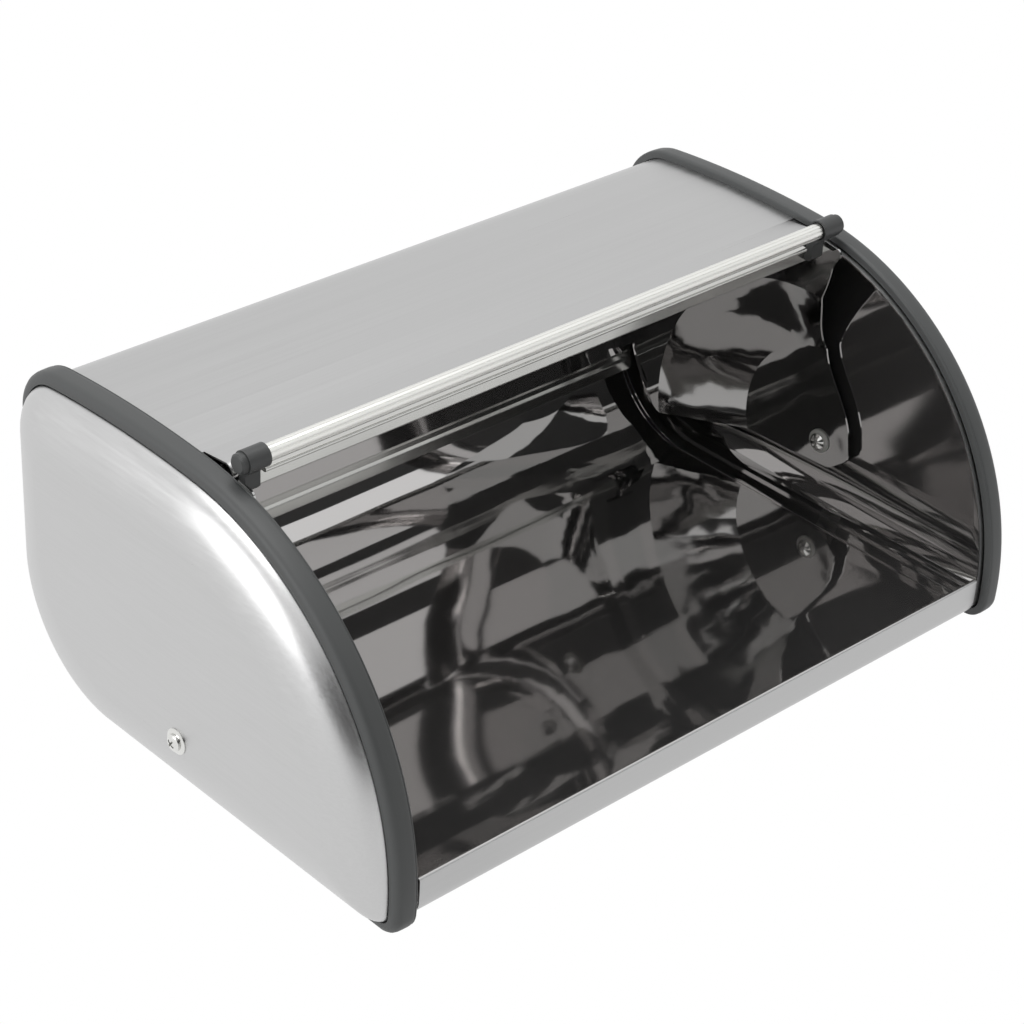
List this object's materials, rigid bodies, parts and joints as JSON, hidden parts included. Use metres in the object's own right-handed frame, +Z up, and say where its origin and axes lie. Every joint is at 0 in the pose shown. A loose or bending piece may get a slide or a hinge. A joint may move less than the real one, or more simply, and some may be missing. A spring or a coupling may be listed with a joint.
{
  "type": "roll-top bread box",
  "caption": "Roll-top steel bread box with drawn end caps, dark trim rings and a curved lid that swings back under the top on side arms.",
  "frame": {"origin": "on the counter, at the centre of the footprint of the trim rings", "axes": "+X along the box from its left end to its right end seen from the front, -Y towards the open front, +Z up"},
  "size_m": [0.4414, 0.272, 0.1854],
  "materials": {
    "brushed_sheet": "brushed along the box outside, polished inside",
    "brushed_end": "brushed outside, polished dish inside",
    "trim_plastic": "matte dark grey",
    "lid_sheet": "brushed outside, polished inside",
    "lid_rail": "satin",
    "polished_arm": "polished steel",
    "handle_metal": "satin, finely grooved along its length",
    "bracket_plastic": "matte dark grey",
    "bush_plastic": "satin nylon",
    "fastener": "bright plated"
  },
  "bodies": {
    "box": {"body_shell": "brushed_sheet", "left_end_cap": "brushed_end", "right_end_cap": "brushed_end", "left_trim_ring": "trim_plastic", "right_trim_ring": "trim_plastic", "left_pivot_screw": "fastener", "right_pivot_screw": "fastener", "left_outer_washer": "fastener", "right_outer_washer": "fastener", "left_pivot_bush": "bush_plastic", "right_pivot_bush": "bush_plastic", "left_inner_washer": "bush_plastic", "right_inner_washer": "bush_plastic", "left_pivot_nut": "fastener", "right_pivot_nut": "fastener"},
    "lid": {"lid_panel": "lid_sheet", "lid_front_rail": "lid_rail", "lid_rear_rail": "lid_rail", "left_lid_arm": "polished_arm", "right_lid_arm": "polished_arm", "handle_bar": "handle_metal", "left_handle_bracket": "bracket_plastic", "right_handle_bracket": "bracket_plastic", "left_bracket_screw": "fastener", "right_bracket_screw": "fastener"}
  },
  "joints": [
    {"name": "lid_hinge", "type": "hinge", "parent": "box", "child": "lid", "pos_m": [0, -0.001, 0.0385], "axis": [1, 0, 0], "range_deg": [0, 90]}
  ]
}
